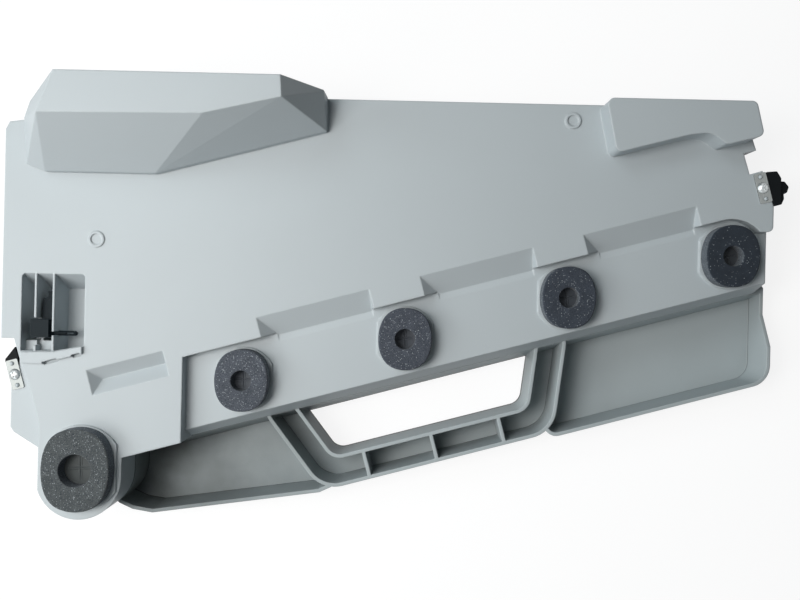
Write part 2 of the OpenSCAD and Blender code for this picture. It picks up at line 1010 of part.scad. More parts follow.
module catch_left() {
    color("#25282a")
        translate([0, 0, ledge_z - catch_h])
            linear_extrude(catch_h)
                intersection() {
                    offset(delta = -catch_gap) left_notch();
                    polygon([
                        [left_x - 1.8, left_notch_y - 13.3],
                        [left_x + 3.8, left_notch_y - 5.9],
                        [left_x + 6, left_notch_y - 12.3],
                        [left_x + left_notch_w, left_notch_y - 30],
                        [left_x - 1.8, left_notch_y - 30]
                    ]);
                }
}

module catch_right() {
    nose = [
        [1.2, 9.5], [8.4, 10.2], [10.4, 7.1], [11.7, 4.8], [14.6, 4.7], [17.2, 1.6],
        [16.2, -1.8], [14.2, -2.9], [14.5, -5.6], [13.1, -9], [7.4, -10.6]
    ];
    color("#25282a")
        translate([right_plate[0], right_plate[1], face_z - catch_h])
            difference() {
                union() {
                    linear_extrude(catch_h - 3) softened(1.2) polygon(nose);
                    linear_extrude(catch_h)
                        intersection() {
                            softened(1.2) polygon(nose);
                            translate([0, -12]) square([11, 24]);
                        }
                }
                translate([-right_plate[0], -right_plate[1], -over])
                    linear_extrude(catch_h + 2 * over)
                        offset(delta = catch_gap) body_plan();
            }
}

cover();
port_shell();
foam_seal(0);  // foam_seal_1
foam_seal(1);  // foam_seal_2
foam_seal(2);  // foam_seal_3
foam_seal(3);  // foam_seal_4
foam_seal(port_count);  // foam_seal_large
diaphragm(0);  // diaphragm_1
diaphragm(1);  // diaphragm_2
diaphragm(2);  // diaphragm_3
diaphragm(3);  // diaphragm_4
diaphragm(port_count);  // diaphragm_large
level_lever();
catch_plate(left_plate);  // catch_plate_left
catch_plate(right_plate);  // catch_plate_right
catch_screw(left_plate);  // catch_screw_left
catch_screw(right_plate);  // catch_screw_right
catch_left();
catch_right();
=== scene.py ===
import math

import bpy
import numpy as np
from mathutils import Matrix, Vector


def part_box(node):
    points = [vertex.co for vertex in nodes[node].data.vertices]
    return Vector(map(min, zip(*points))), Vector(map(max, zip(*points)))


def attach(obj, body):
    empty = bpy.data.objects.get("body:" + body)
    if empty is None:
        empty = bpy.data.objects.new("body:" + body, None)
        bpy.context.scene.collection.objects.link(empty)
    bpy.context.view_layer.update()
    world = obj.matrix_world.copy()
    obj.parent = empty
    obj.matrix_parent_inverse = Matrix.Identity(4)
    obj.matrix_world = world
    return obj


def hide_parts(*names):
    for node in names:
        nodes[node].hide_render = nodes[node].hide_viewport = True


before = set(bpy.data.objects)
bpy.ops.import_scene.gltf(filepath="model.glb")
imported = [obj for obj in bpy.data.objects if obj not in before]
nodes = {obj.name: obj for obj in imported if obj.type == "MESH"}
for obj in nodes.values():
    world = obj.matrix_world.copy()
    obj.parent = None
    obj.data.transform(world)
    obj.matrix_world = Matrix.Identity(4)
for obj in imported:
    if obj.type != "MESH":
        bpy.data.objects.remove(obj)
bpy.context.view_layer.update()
print("frame loaded:", len(nodes), "nodes")

mm = 0.001  # the new pieces are worked out in millimetres


# helpers for meshes and shader nodes

def meshFromGrid(name, grid, closed=True):
    # grid is (rows, columns, 3); neighbouring points become quads, and a closed grid joins its last row and column
    # to its first ones
    rows, cols = grid.shape[:2]
    spare = 0 if closed else 1
    a, b = np.meshgrid(np.arange(rows - spare), np.arange(cols - spare), indexing="ij")
    nextA, nextB = (a + 1) % rows, (b + 1) % cols
    quads = np.stack([a * cols + b, nextA * cols + b, nextA * cols + nextB, a * cols + nextB], axis=-1)
    mesh = bpy.data.meshes.new(name)
    mesh.from_pydata(grid.reshape(-1, 3).tolist(), [], quads.reshape(-1, 4).tolist())
    mesh.polygons.foreach_set("use_smooth", np.ones(len(mesh.polygons), dtype=bool))
    mesh.update()
    piece = bpy.data.objects.new(name, mesh)
    bpy.context.scene.collection.objects.link(piece)
    return piece


def plug(tree, node, inputs):
    # a socket is linked to the input, and a plain value is set on the input itself
    for label, value in inputs.items():
        if isinstance(value, bpy.types.NodeSocket):
            tree.links.new(value, node.inputs[label])
        else:
            node.inputs[label].default_value = value


def addNode(tree, kind, place, inputs=None, **settings):
    node = tree.nodes.new(kind)
    node.location = place
    for key, value in settings.items():
        setattr(node, key, value)
    plug(tree, node, inputs or {})
    return node


def newGroup(name, inputs, outputs):
    # a number makes a float input, three numbers a vector and four a colour
    group = bpy.data.node_groups.new(name, "ShaderNodeTree")
    for label, value in inputs.items():
        kind = "Float" if isinstance(value, float) else "Vector" if len(value) == 3 else "Color"
        socket = group.interface.new_socket(name=label, in_out="INPUT", socket_type="NodeSocket" + kind)
        socket.default_value = value
    for label, kind in outputs.items():
        group.interface.new_socket(name=label, in_out="OUTPUT", socket_type="NodeSocket" + kind)
    start = addNode(group, "NodeGroupInput", (-1100, 0))
    end = addNode(group, "NodeGroupOutput", (900, 0))
    return group, start.outputs, end


def mathNode(tree, operation, *values, clamp=False, place):
    inputs = dict(enumerate(values))
    return addNode(tree, "ShaderNodeMath", place, inputs, operation=operation, use_clamp=clamp).outputs[0]


def mixColor(tree, factor, a, b, place):
    # inputs 6 and 7 are the two colours of the Mix node, and output 2 is its colour
    return addNode(tree, "ShaderNodeMix", place, {0: factor, 6: a, 7: b}, data_type="RGBA").outputs[2]


def rgb(r, g, b):
    # screen colour 0..255 to the linear colour that a shader socket takes
    c = np.array([r, g, b]) / 255
    c = np.where(c <= 0.04045, c / 12.92, ((c + 0.055) / 1.055) ** 2.4)
    return (float(c[0]), float(c[1]), float(c[2]), 1.0)


# effects that several materials share

edgeDetail = {
    "normalSamples": 6, "edgeMaskSamples": 4,
    "edgeMaskGain": 4.0,        # how soon a turning surface counts as an edge
}


def roundedEdgesGroup():
    # normal of a small rounding on every edge, and a mask that is 1 where the surface turns sharply
    group, given, end = newGroup(
        "roundedEdges", {"Radius": 0.0005, "Edge Mask Radius": 0.001}, {"Normal": "Vector", "Edge": "Float"})
    soft = addNode(group, "ShaderNodeBevel", (-700, 100), {"Radius": given["Radius"]},
                   samples=edgeDetail["normalSamples"])
    wide = addNode(group, "ShaderNodeBevel", (-700, -100), {"Radius": given["Edge Mask Radius"]},
                   samples=edgeDetail["edgeMaskSamples"])
    face = addNode(group, "ShaderNodeNewGeometry", (-700, -300))
    agree = addNode(group, "ShaderNodeVectorMath", (-450, -150),
                    {0: wide.outputs[0], 1: face.outputs["Normal"]}, operation="DOT_PRODUCT")
    turned = mathNode(group, "SUBTRACT", 1.0, agree.outputs["Value"], place=(-250, -150))
    edge = mathNode(group, "MULTIPLY", turned, edgeDetail["edgeMaskGain"], clamp=True, place=(-50, -150))
    plug(group, end, {"Normal": soft.outputs[0], "Edge": edge})
    return group


skinDetail = {
    "driftOctaves": 3.0,
    "patchScale": 140.0,    # breaks the paler edges up, the rubbed wear and the painted highlight alike
    "dustSlope": 0.9,       # how much of the dust lies on a level face
    "dustScale": 35.0, "dustOctaves": 6.0, "dustRoughness": 0.5,
    "cornerReach": 0.03,    # how near another face has to be for the painted shade to gather, metres
    "cornerOpen": 0.8,      # a spot more open than this stays unshaded
    "cornerGain": 1.5, "cornerSamples": 6,
    "upright": 0.3,         # a wall whose dust mask is under this counts as upright
    "leastPaintedShade": 0.5,      # added to the drifts, so that the painted shade is uneven but never gone
    "grainOctaves": 2.0,
}


def mouldSkinGroup(edges):
    # moulded plastic: a slow drift of tone, fine spark grain in the normal, paler edges (rubbed wear and a painted
    # highlight), thin dust, and painted shade in corners, in a shadow that fades away from one place, and along the
    # foot of upright walls
    detail = skinDetail
    group, given, end = newGroup("mouldSkin", {
        "Color": (0.5, 0.5, 0.5, 1.0), "Rubbed And Highlight Color": (0.6, 0.6, 0.6, 1.0), "Drift": 0.06, "Drift Scale": 9.0,
        "Grain Scale": 1800.0, "Grain Depth": 0.00002, "Roughness": 0.5, "Edge Radius": 0.0006, "Wear And Highlight": 0.5,
        "Dust": 0.1, "Dust Color": (0.3, 0.3, 0.3, 1.0), "Painted Shade": 0.0, "Painted Shade Color": (0.06, 0.06, 0.055, 1.0),
        "Painted Shadow": 0.0, "Painted Shadow Place": (0.0, 0.0, 0.0), "Painted Shadow Reach": 0.1, "Foot": 0.0, "Foot Height": 0.005,
    }, {"Color": "Color", "Roughness": "Float", "Normal": "Vector"})
    here = addNode(group, "ShaderNodeTexCoord", (-1100, -400)).outputs["Object"]

    drift = addNode(group, "ShaderNodeTexNoise", (-800, 300),
                    {"Vector": here, "Scale": given["Drift Scale"], "Detail": detail["driftOctaves"]})
    centred = mathNode(group, "SUBTRACT", drift.outputs["Fac"], 0.5, place=(-600, 300))
    scaled = mathNode(group, "MULTIPLY", centred, given["Drift"], place=(-450, 300))
    factor = mathNode(group, "ADD", scaled, 1.0, place=(-300, 300))
    shade = addNode(group, "ShaderNodeVectorMath", (-150, 300), {0: given["Color"], "Scale": factor},
                    operation="SCALE")

    rounded = addNode(group, "ShaderNodeGroup", (-800, 0), {"Radius": given["Edge Radius"]}, node_tree=edges)
    patches = addNode(group, "ShaderNodeTexNoise", (-800, -250), {"Vector": here, "Scale": detail["patchScale"]})
    # paler edges: partly rubbed wear and partly a painted highlight
    patchy = mathNode(group, "MULTIPLY", rounded.outputs["Edge"], patches.outputs["Fac"], place=(-500, -150))
    rubbedAndLit = mathNode(group, "MULTIPLY", patchy, given["Wear And Highlight"], clamp=True, place=(-350, -150))
    color = mixColor(group, rubbedAndLit, shade.outputs[0], given["Rubbed And Highlight Color"], place=(0, 200))

    # dust lies where the surface faces up, in soft drifts
    face = addNode(group, "ShaderNodeNewGeometry", (-800, -500))
    facing = addNode(group, "ShaderNodeSeparateXYZ", (-600, -500), {0: face.outputs["Normal"]})
    level = mathNode(group, "MULTIPLY", facing.outputs["Z"], detail["dustSlope"], clamp=True, place=(-450, -500))
    drifts = addNode(group, "ShaderNodeTexNoise", (-800, -700),
                     {"Vector": here, "Scale": detail["dustScale"], "Detail": detail["dustOctaves"]})
    lying = mathNode(group, "MULTIPLY", level, drifts.outputs["Fac"], place=(-300, -500))
    dusty = mathNode(group, "MULTIPLY", lying, given["Dust"], clamp=True, place=(-150, -500))
    color = mixColor(group, dusty, color, given["Dust Color"], place=(250, 200))

    # painted shade: corners where another face is near are darkened, standing in for the shade that falls there
    hidden = addNode(group, "ShaderNodeAmbientOcclusion", (-800, -1000), {"Distance": detail["cornerReach"]},
                     samples=detail["cornerSamples"])
    corner = mathNode(group, "SUBTRACT", detail["cornerOpen"], hidden.outputs["AO"], clamp=True,
                      place=(-600, -1000))
    corner = mathNode(group, "MULTIPLY", corner, detail["cornerGain"], place=(-450, -1000))
    corner = mathNode(group, "MULTIPLY", corner, given["Painted Shade"], place=(-300, -1000))

    # painted shadow: a darkening that fades with the distance from its place, standing in for a cast shadow
    away = addNode(group, "ShaderNodeVectorMath", (-800, -1200), {0: here, 1: given["Painted Shadow Place"]},
                   operation="DISTANCE")
    share = mathNode(group, "DIVIDE", away.outputs["Value"], given["Painted Shadow Reach"], clamp=True, place=(-600, -1200))
    paintedShadow = mathNode(group, "SUBTRACT", 1.0, share, place=(-450, -1200))
    paintedShadow = mathNode(group, "MULTIPLY", paintedShadow, given["Painted Shadow"], place=(-300, -1200))

    # painted shade: the foot of an upright wall is darkest where it stands on the table
    spot = addNode(group, "ShaderNodeSeparateXYZ", (-800, -1400), {0: here})
    height = mathNode(group, "DIVIDE", spot.outputs["Z"], given["Foot Height"], clamp=True, place=(-600, -1400))
    foot = mathNode(group, "SUBTRACT", 1.0, height, place=(-450, -1400))
    upright = mathNode(group, "LESS_THAN", level, detail["upright"], place=(-300, -1500))
    foot = mathNode(group, "MULTIPLY", foot, upright, place=(-300, -1400))
    foot = mathNode(group, "MULTIPLY", foot, given["Foot"], place=(-150, -1400))

    paintedShade = mathNode(group, "ADD", paintedShadow, foot, place=(0, -1300))
    paintedShade = mathNode(group, "ADD", corner, paintedShade, place=(-150, -1000))
    uneven = mathNode(group, "ADD", drifts.outputs["Fac"], detail["leastPaintedShade"], place=(-300, -900))
    shaded = mathNode(group, "MULTIPLY", paintedShade, uneven, clamp=True, place=(0, -1000))
    color = mixColor(group, shaded, color, given["Painted Shade Color"], place=(400, 200))
    rough = mathNode(group, "MULTIPLY", dusty, detail["dustRoughness"], place=(100, -400))
    rough = mathNode(group, "ADD", given["Roughness"], rough, clamp=True, place=(250, -400))

    grain = addNode(group, "ShaderNodeTexNoise", (-300, -800),
                    {"Vector": here, "Scale": given["Grain Scale"], "Detail": detail["grainOctaves"]})
    bump = addNode(group, "ShaderNodeBump", (400, -600), {
        "Height": grain.outputs["Fac"], "Distance": given["Grain Depth"], "Normal": rounded.outputs["Normal"]})
    plug(group, end, {"Color": color, "Roughness": rough, "Normal": bump.outputs["Normal"]})
    return group


cellDetail = {
    "poreSharpness": 2.0, "poreGain": 1.1,
    "cloudScale": 170.0, "cloudOctaves": 4.0, "cloudSpread": 0.7, "cloudLeast": 0.65,
    "litSideFade": 1.6, "litSideStart": 1.2,      # painted light: the paler side colour is full on an upright face and gone on a level one
    "fleckFade": 4.0, "fleckStart": 1.7,    # a fleck fades from the middle of its cell to the rim
}


def foamCellsGroup():
    # cut foam: small open cells in the normal, dark pores between them, pale flecks in some cells, and paler upright
    # sides as painted light
    detail = cellDetail
    group, given, end = newGroup("foamCells", {
        "Color": (0.08, 0.09, 0.1, 1.0), "Pore Color": (0.02, 0.02, 0.02, 1.0), "Lit Side Color": (0.15, 0.15, 0.15, 1.0),
        "Fleck Color": (0.5, 0.5, 0.5, 1.0), "Cell Scale": 1500.0, "Fleck Scale": 620.0, "Fleck Share": 0.2,
    }, {"Color": "Color", "Height": "Float"})
    here = addNode(group, "ShaderNodeTexCoord", (-1100, -300)).outputs["Object"]
    cells = addNode(group, "ShaderNodeTexVoronoi", (-800, 200), {"Vector": here, "Scale": given["Cell Scale"]})
    pores = mathNode(group, "POWER", cells.outputs["Distance"], detail["poreSharpness"], place=(-600, 200))
    pores = mathNode(group, "MULTIPLY", pores, detail["poreGain"], clamp=True, place=(-450, 200))
    cloud = addNode(group, "ShaderNodeTexNoise", (-800, -50),
                    {"Vector": here, "Scale": detail["cloudScale"], "Detail": detail["cloudOctaves"]})
    lighter = mathNode(group, "MULTIPLY_ADD", cloud.outputs["Fac"], detail["cloudSpread"], detail["cloudLeast"],
                       place=(-600, -50))
    face = addNode(group, "ShaderNodeNewGeometry", (-1100, 450))
    facing = addNode(group, "ShaderNodeSeparateXYZ", (-950, 450), {0: face.outputs["Normal"]})
    steep = mathNode(group, "MULTIPLY_ADD", facing.outputs["Z"], -detail["litSideFade"], detail["litSideStart"],
                     clamp=True, place=(-800, 450))
    base = mixColor(group, steep, given["Color"], given["Lit Side Color"], place=(-600, 450))
    shade = addNode(group, "ShaderNodeVectorMath", (-300, 100), {0: base, "Scale": lighter}, operation="SCALE")
    color = mixColor(group, pores, shade.outputs[0], given["Pore Color"], place=(-100, 200))

    flecks = addNode(group, "ShaderNodeTexVoronoi", (-800, -350), {"Vector": here, "Scale": given["Fleck Scale"]})
    chance = addNode(group, "ShaderNodeSeparateColor", (-600, -300), {0: flecks.outputs["Color"]})
    chosen = mathNode(group, "LESS_THAN", chance.outputs[0], given["Fleck Share"], place=(-450, -300))
    near = mathNode(group, "MULTIPLY_ADD", flecks.outputs["Distance"], -detail["fleckFade"], detail["fleckStart"],
                    clamp=True, place=(-450, -450))
    bright = mathNode(group, "MULTIPLY", chance.outputs[1], near, place=(-300, -400))
    fleck = mathNode(group, "MULTIPLY", chosen, bright, clamp=True, place=(-150, -300))
    color = mixColor(group, fleck, color, given["Fleck Color"], place=(150, 150))
    height = mathNode(group, "SUBTRACT", 1.0, pores, place=(150, -100))
    plug(group, end, {"Color": color, "Height": height})
    return group


roundedEdges = roundedEdgesGroup()
mouldSkin = mouldSkinGroup(roundedEdges)
foamCells = foamCellsGroup()


# materials

def emptyTree(owner):
    owner.use_nodes = True
    owner.node_tree.nodes.clear()
    return owner.node_tree


def newMaterial(name):
    material = bpy.data.materials.new(name)
    tree = emptyTree(material)
    shader = addNode(tree, "ShaderNodeBsdfPrincipled", (300, 0))
    addNode(tree, "ShaderNodeOutputMaterial", (600, 0), {"Surface": shader.outputs[0]})
    return material, tree, shader


def plasticMaterial(name, look):
    # look holds the values of the mouldSkin group, and the shader's own plain numbers
    material, tree, shader = newMaterial(name)
    skin = addNode(tree, "ShaderNodeGroup", (0, 0), look["skin"], node_tree=mouldSkin)
    plug(tree, shader, {
        "Specular IOR Level": look["specular"], "IOR": look["ior"], "Base Color": skin.outputs["Color"],
        "Roughness": skin.outputs["Roughness"], "Normal": skin.outputs["Normal"]})
    return material


def foamMaterial(name, look):
    # look holds the values of the foamCells group, and the shader's own plain numbers
    material, tree, shader = newMaterial(name)
    cells = addNode(tree, "ShaderNodeGroup", (-200, 0), look["cells"], node_tree=foamCells)
    bump = addNode(tree, "ShaderNodeBump", (50, -200),
                   {"Distance": look["poreDepth"], "Height": cells.outputs["Height"]})
    plug(tree, shader, {
        "Roughness": look["roughness"], "Specular IOR Level": look["specular"], "Sheen Weight": look["sheen"],
        "Base Color": cells.outputs["Color"], "Normal": bump.outputs["Normal"]})
    return material


def steelMaterial(name, look):
    # plated sheet: fine brushing along one direction, in the colour, the roughness and the normal
    material, tree, shader = newMaterial(name)
    here = addNode(tree, "ShaderNodeTexCoord", (-900, 0))
    turn = addNode(tree, "ShaderNodeMapping", (-700, 0), {
        "Vector": here.outputs["Object"], "Rotation": (0, 0, math.radians(look["brushAngle"])),
        "Scale": look["brushScale"]})
    brushed = addNode(tree, "ShaderNodeTexNoise", (-500, 0), {"Vector": turn.outputs["Vector"], "Scale": 1.0})
    rounded = addNode(tree, "ShaderNodeGroup", (-500, -300), {"Radius": look["edgeRadius"]},
                      node_tree=roundedEdges)
    bump = addNode(tree, "ShaderNodeBump", (0, -300), {
        "Distance": look["brushDepth"], "Height": brushed.outputs["Fac"], "Normal": rounded.outputs["Normal"]})
    rough = mathNode(tree, "MULTIPLY_ADD", brushed.outputs["Fac"], look["roughSpread"], look["roughness"],
                     place=(-200, -100))
    color = mixColor(tree, brushed.outputs["Fac"], look["color"], look["brightColor"], place=(-200, 150))
    plug(tree, shader, {
        "Metallic": 1.0, "Base Color": color, "Roughness": rough, "Normal": bump.outputs["Normal"]})
    return material


# the shell gets painted shade in its corners, and paler edges that are partly rubbed wear and partly a painted
# highlight
shellLook = {
    "skin": {"Color": rgb(174, 182, 186), "Rubbed And Highlight Color": rgb(204, 211, 214), "Drift": 0.07, "Drift Scale": 8.0,
             "Grain Scale": 1500.0, "Grain Depth": 0.00002, "Roughness": 0.46, "Edge Radius": 0.0013, "Wear And Highlight": 0.9,
             "Dust": 0.08, "Dust Color": rgb(150, 154, 154), "Painted Shade": 0.05, "Painted Shade Color": rgb(62, 66, 68)},
    "specular": 0.22, "ior": 1.5,
}
# the cover gets painted shade in its corners, a painted shadow in the left tray beside the large port housing,
# painted shade along the foot of its walls, and paler edges that are partly wear and partly a painted highlight
coverLook = {
    "skin": {"Color": rgb(168, 177, 180), "Rubbed And Highlight Color": rgb(200, 208, 210), "Drift": 0.09, "Drift Scale": 10.0,
             "Grain Scale": 1300.0, "Grain Depth": 0.00002, "Roughness": 0.46, "Edge Radius": 0.001, "Wear And Highlight": 0.8,
             "Dust": 0.25, "Dust Color": rgb(138, 145, 146), "Painted Shade": 0.2, "Painted Shade Color": rgb(58, 61, 59),
             "Painted Shadow": 0.66, "Painted Shadow Place": (-0.15, -0.1, 0.01), "Painted Shadow Reach": 0.13, "Foot": 1.3, "Foot Height": 0.004},
    "specular": 0.1, "ior": 1.5,
}
leverLook = {
    "skin": {"Color": rgb(27, 34, 38), "Rubbed And Highlight Color": rgb(60, 70, 76), "Drift": 0.3, "Drift Scale": 60.0,
             "Grain Scale": 2400.0, "Grain Depth": 0.000015, "Roughness": 0.42, "Edge Radius": 0.0004, "Wear And Highlight": 0.5,
             "Dust": 0.04, "Dust Color": rgb(84, 90, 94)},
    "specular": 0.04, "ior": 1.5,
}
catchLook = {
    "skin": {"Color": rgb(15, 18, 20), "Rubbed And Highlight Color": rgb(48, 53, 56), "Drift": 0.3, "Drift Scale": 50.0,
             "Grain Scale": 1600.0, "Grain Depth": 0.00003, "Roughness": 0.5, "Edge Radius": 0.0005, "Wear And Highlight": 0.4,
             "Dust": 0.03, "Dust Color": rgb(70, 75, 78)},
    "specular": 0.06, "ior": 1.5,
}
rubberLook = {
    "skin": {"Color": rgb(58, 63, 68), "Rubbed And Highlight Color": rgb(104, 110, 114), "Drift": 0.25, "Drift Scale": 120.0,
             "Grain Scale": 2200.0, "Grain Depth": 0.00002, "Roughness": 0.6, "Edge Radius": 0.0002, "Wear And Highlight": 0.5,
             "Dust": 0.35, "Dust Color": rgb(92, 96, 99)},
    "specular": 0.35, "ior": 1.52,
}
foamLook = {
    "cells": {"Pore Color": rgb(44, 48, 55), "Lit Side Color": rgb(100, 107, 114), "Fleck Color": rgb(160, 167, 172),
              "Cell Scale": 1900.0, "Fleck Scale": 1250.0},
    "poreDepth": 0.00012, "roughness": 0.95, "specular": 0.1, "sheen": 0.06,
}
plateLook = {
    "color": rgb(112, 116, 116), "brightColor": rgb(160, 164, 163), "roughness": 0.5, "roughSpread": 0.2,
    "brushAngle": 15.5, "brushScale": (2600.0, 180.0, 800.0), "brushDepth": 0.00001, "edgeRadius": 0.0002,
}
screwLook = {
    "color": rgb(140, 146, 148), "brightColor": rgb(206, 209, 209), "roughness": 0.3, "roughSpread": 0.15,
    "brushAngle": 0.0, "brushScale": (900.0, 900.0, 900.0), "brushDepth": 0.00001, "edgeRadius": 0.0003,
}

# shades of the foam seals and rubber discs, palest at the left and darkest at the right with fewer pale flecks:
# painted light, lit and shaded copies of one foam and one rubber
portLitShades = {
    "large": {"foam": rgb(82, 87, 88), "rubber": rgb(50, 56, 56), "flecks": 0.45},
    "1": {"foam": rgb(86, 91, 99), "rubber": rgb(72, 77, 85), "flecks": 0.45},
    "2": {"foam": rgb(79, 84, 93), "rubber": rgb(64, 69, 77), "flecks": 0.38},
    "3": {"foam": rgb(64, 70, 79), "rubber": rgb(48, 54, 62), "flecks": 0.32},
    "4": {"foam": rgb(48, 55, 63), "rubber": rgb(34, 39, 45), "flecks": 0.2},
}

shellPlastic = plasticMaterial("shellPlastic", shellLook)
coverPlastic = plasticMaterial("coverPlastic", coverLook)
leverPlastic = plasticMaterial("leverPlastic", leverLook)
catchPlastic = plasticMaterial("catchPlastic", catchLook)
slitRubber = {}
sealFoam = {}
for port, shades in portLitShades.items():
    skin = {**rubberLook["skin"], "Color": shades["rubber"]}
    cells = {**foamLook["cells"], "Color": shades["foam"], "Fleck Share": shades["flecks"]}
    slitRubber[port] = plasticMaterial("slitRubber_" + port, {**rubberLook, "skin": skin})
    sealFoam[port] = foamMaterial("sealFoam_" + port, {**foamLook, "cells": cells})
plateSteel = steelMaterial("plateSteel", plateLook)
screwSteel = steelMaterial("screwSteel", screwLook)
print("materials made")

nodeMaterials = {
    "cover": coverPlastic, "port_shell": shellPlastic, "level_lever": leverPlastic,
    "catch_left": catchPlastic, "catch_right": catchPlastic,
    "catch_plate_left": plateSteel, "catch_plate_right": plateSteel,
    "catch_screw_left": screwSteel, "catch_screw_right": screwSteel,
}
for port in portLitShades:
    nodeMaterials["foam_seal_" + port] = sealFoam[port]
    nodeMaterials["diaphragm_" + port] = slitRubber[port]


def dress(node, material):
    if not node.material_slots:
        node.data.materials.append(material)
    for slot in node.material_slots:
        slot.link = "OBJECT"
        slot.material = material


for name, material in nodeMaterials.items():
    dress(nodes[name], material)
print("nodes dressed")


# foam rings

foamRing = {
    "small": {"diameter": 37.0, "flats": 32.0, "bore": 12.0, "cornerSoftness": 4.5},
    "large": {"diameter": 48.5, "flats": 40.0, "bore": 19.0, "cornerSoftness": 5.5},
    "boreLip": 0.5,      # rounding of the cut edge at the bore, mm
    "outerLip": 1.1,     # rounding of the outer edge, mm
    "unevenTop": 0.22,   # how far the cut top wanders, mm
    "inset": 0.05,       # how far the foam stays inside the solid ring, mm
    "around": 216, "wallSteps": 7, "lipSteps": 6, "topSteps": 20, "underSteps": 12,
}
wave = {"count": 5, "turn": 2.399, "length": 9.0, "lengthSpread": 5.0, "lengthTurn": 1.7, "start": 1.3}


def unevenness(x, y, seed):
    # sum of slow waves over the plane, each with its own direction, length and start, scaled to -1..1
    total = np.zeros_like(x)
    for k in range(wave["count"]):
        direction = wave["turn"] * (k + 1) + seed
        length = wave["length"] + wave["lengthSpread"] * math.sin(wave["lengthTurn"] * k + seed)
        along = x * math.cos(direction) + y * math.sin(direction)
        total += np.sin(2 * math.pi * along / length + wave["start"] * seed * k)
    return total / wave["count"]


def ringOutline(size, angle):
    # soft minimum of the circle and the two flats: -k log(exp(-circle / k) + exp(-flat / k)); the flats are first
    # moved out by what this takes off them, so the ring keeps its width over the flats
    k = size["cornerSoftness"]
    circle, halfWidth = size["diameter"] / 2, size["flats"] / 2
    spread = -k * math.log(math.exp(-halfWidth / k) - math.exp(-circle / k)) - halfWidth
    leastCosine, farOff = 1e-3, 200.0
    flat = halfWidth / np.maximum(np.abs(np.cos(angle)), leastCosine)
    return -k * np.log(np.exp(-circle / k) + np.exp(-np.minimum(flat + spread, farOff) / k)) - foamRing["inset"]


def ringSection(height):
    # the section up the bore, over the top, down outside and back below, as four rows: share of the way from the bore
    # to the outline, how far the bore end and the outline end draw in, and height
    boreLip, outerLip = foamRing["boreLip"], foamRing["outerLip"]
    quarter = np.linspace(0, math.pi / 2, foamRing["lipSteps"])
    across = np.linspace(0, 1, foamRing["topSteps"] + 2)[1:-1]
    back = np.linspace(1, 0, foamRing["underSteps"] + 2)[1:-1]
    upBore = np.linspace(0, height - boreLip, foamRing["wallSteps"] + 1)[:-1]
    upOutside = np.linspace(0, height - outerLip, foamRing["wallSteps"] + 1)[:-1]
    parts = [
        (0, 0, 0, upBore),
        (0, boreLip * (1 - np.cos(quarter)), 0, height - boreLip + boreLip * np.sin(quarter)),
        (across, boreLip, outerLip, height),
        (1, 0, outerLip * (1 - np.sin(quarter)), height - outerLip + outerLip * np.cos(quarter)),
        (1, 0, 0, upOutside[::-1]),
        (back, 0, 0, 0),
    ]
    return np.concatenate([np.stack(np.broadcast_arrays(*part)) for part in parts], axis=1)


def makeFoamRing(name, port, size, seed):
    # point(angle, s): the section at s, stretched between the bore and the outline at that angle
    node = "foam_seal_" + port
    low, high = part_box(node)
    centre = (np.array(low) + np.array(high)) / 2 / mm
    bottom, top = low[2] / mm, high[2] / mm
    height = top - bottom
    angle = np.linspace(0, 2 * math.pi, foamRing["around"], endpoint=False)[:, None]
    share, boreDraw, outlineDraw, rise = ringSection(height)
    bore = size["bore"] / 2 + foamRing["inset"]
    radius = (bore + boreDraw) * (1 - share) + (ringOutline(size, angle) - outlineDraw) * share
    x, y = radius * np.cos(angle), radius * np.sin(angle)
    sink = foamRing["unevenTop"] * (0.5 + 0.5 * unevenness(x, y, seed))
    z = bottom + rise - (rise / height) ** 6 * sink  # the walls stay plain, and only the top wanders
    grid = np.stack([centre[0] + x, centre[1] + y, z], axis=-1) * mm
    ring = meshFromGrid(name, grid[:, ::-1])
    ring.data.materials.append(sealFoam[port])
    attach(ring, "tray")
    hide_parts(node)


for number in range(1, 5):
    makeFoamRing(f"foamRing{number}", str(number), foamRing["small"], 0.7 * number)
makeFoamRing("foamRingLarge", "large", foamRing["large"], 4.1)
print("foam rings made")


# slit discs under the foam; lengths in mm

slitDisc = {
    "lipHeight": 0.16, "lipWidth": 0.7, "lipSpread": 0.35, "grooveDepth": 0.3, "grooveWidth": 0.22,
    "sag": 0.12, "sagBelow": 0.4,    # how much of the sag shows below
    "cut": 0.4, "cutFade": 0.6,      # half length of a slit as a share of the bore, and the fade at its ends
    "thinnest": 0.05, "middle": 0.02,
    "around": 144, "boreSteps": 44, "rimSteps": 8,
}


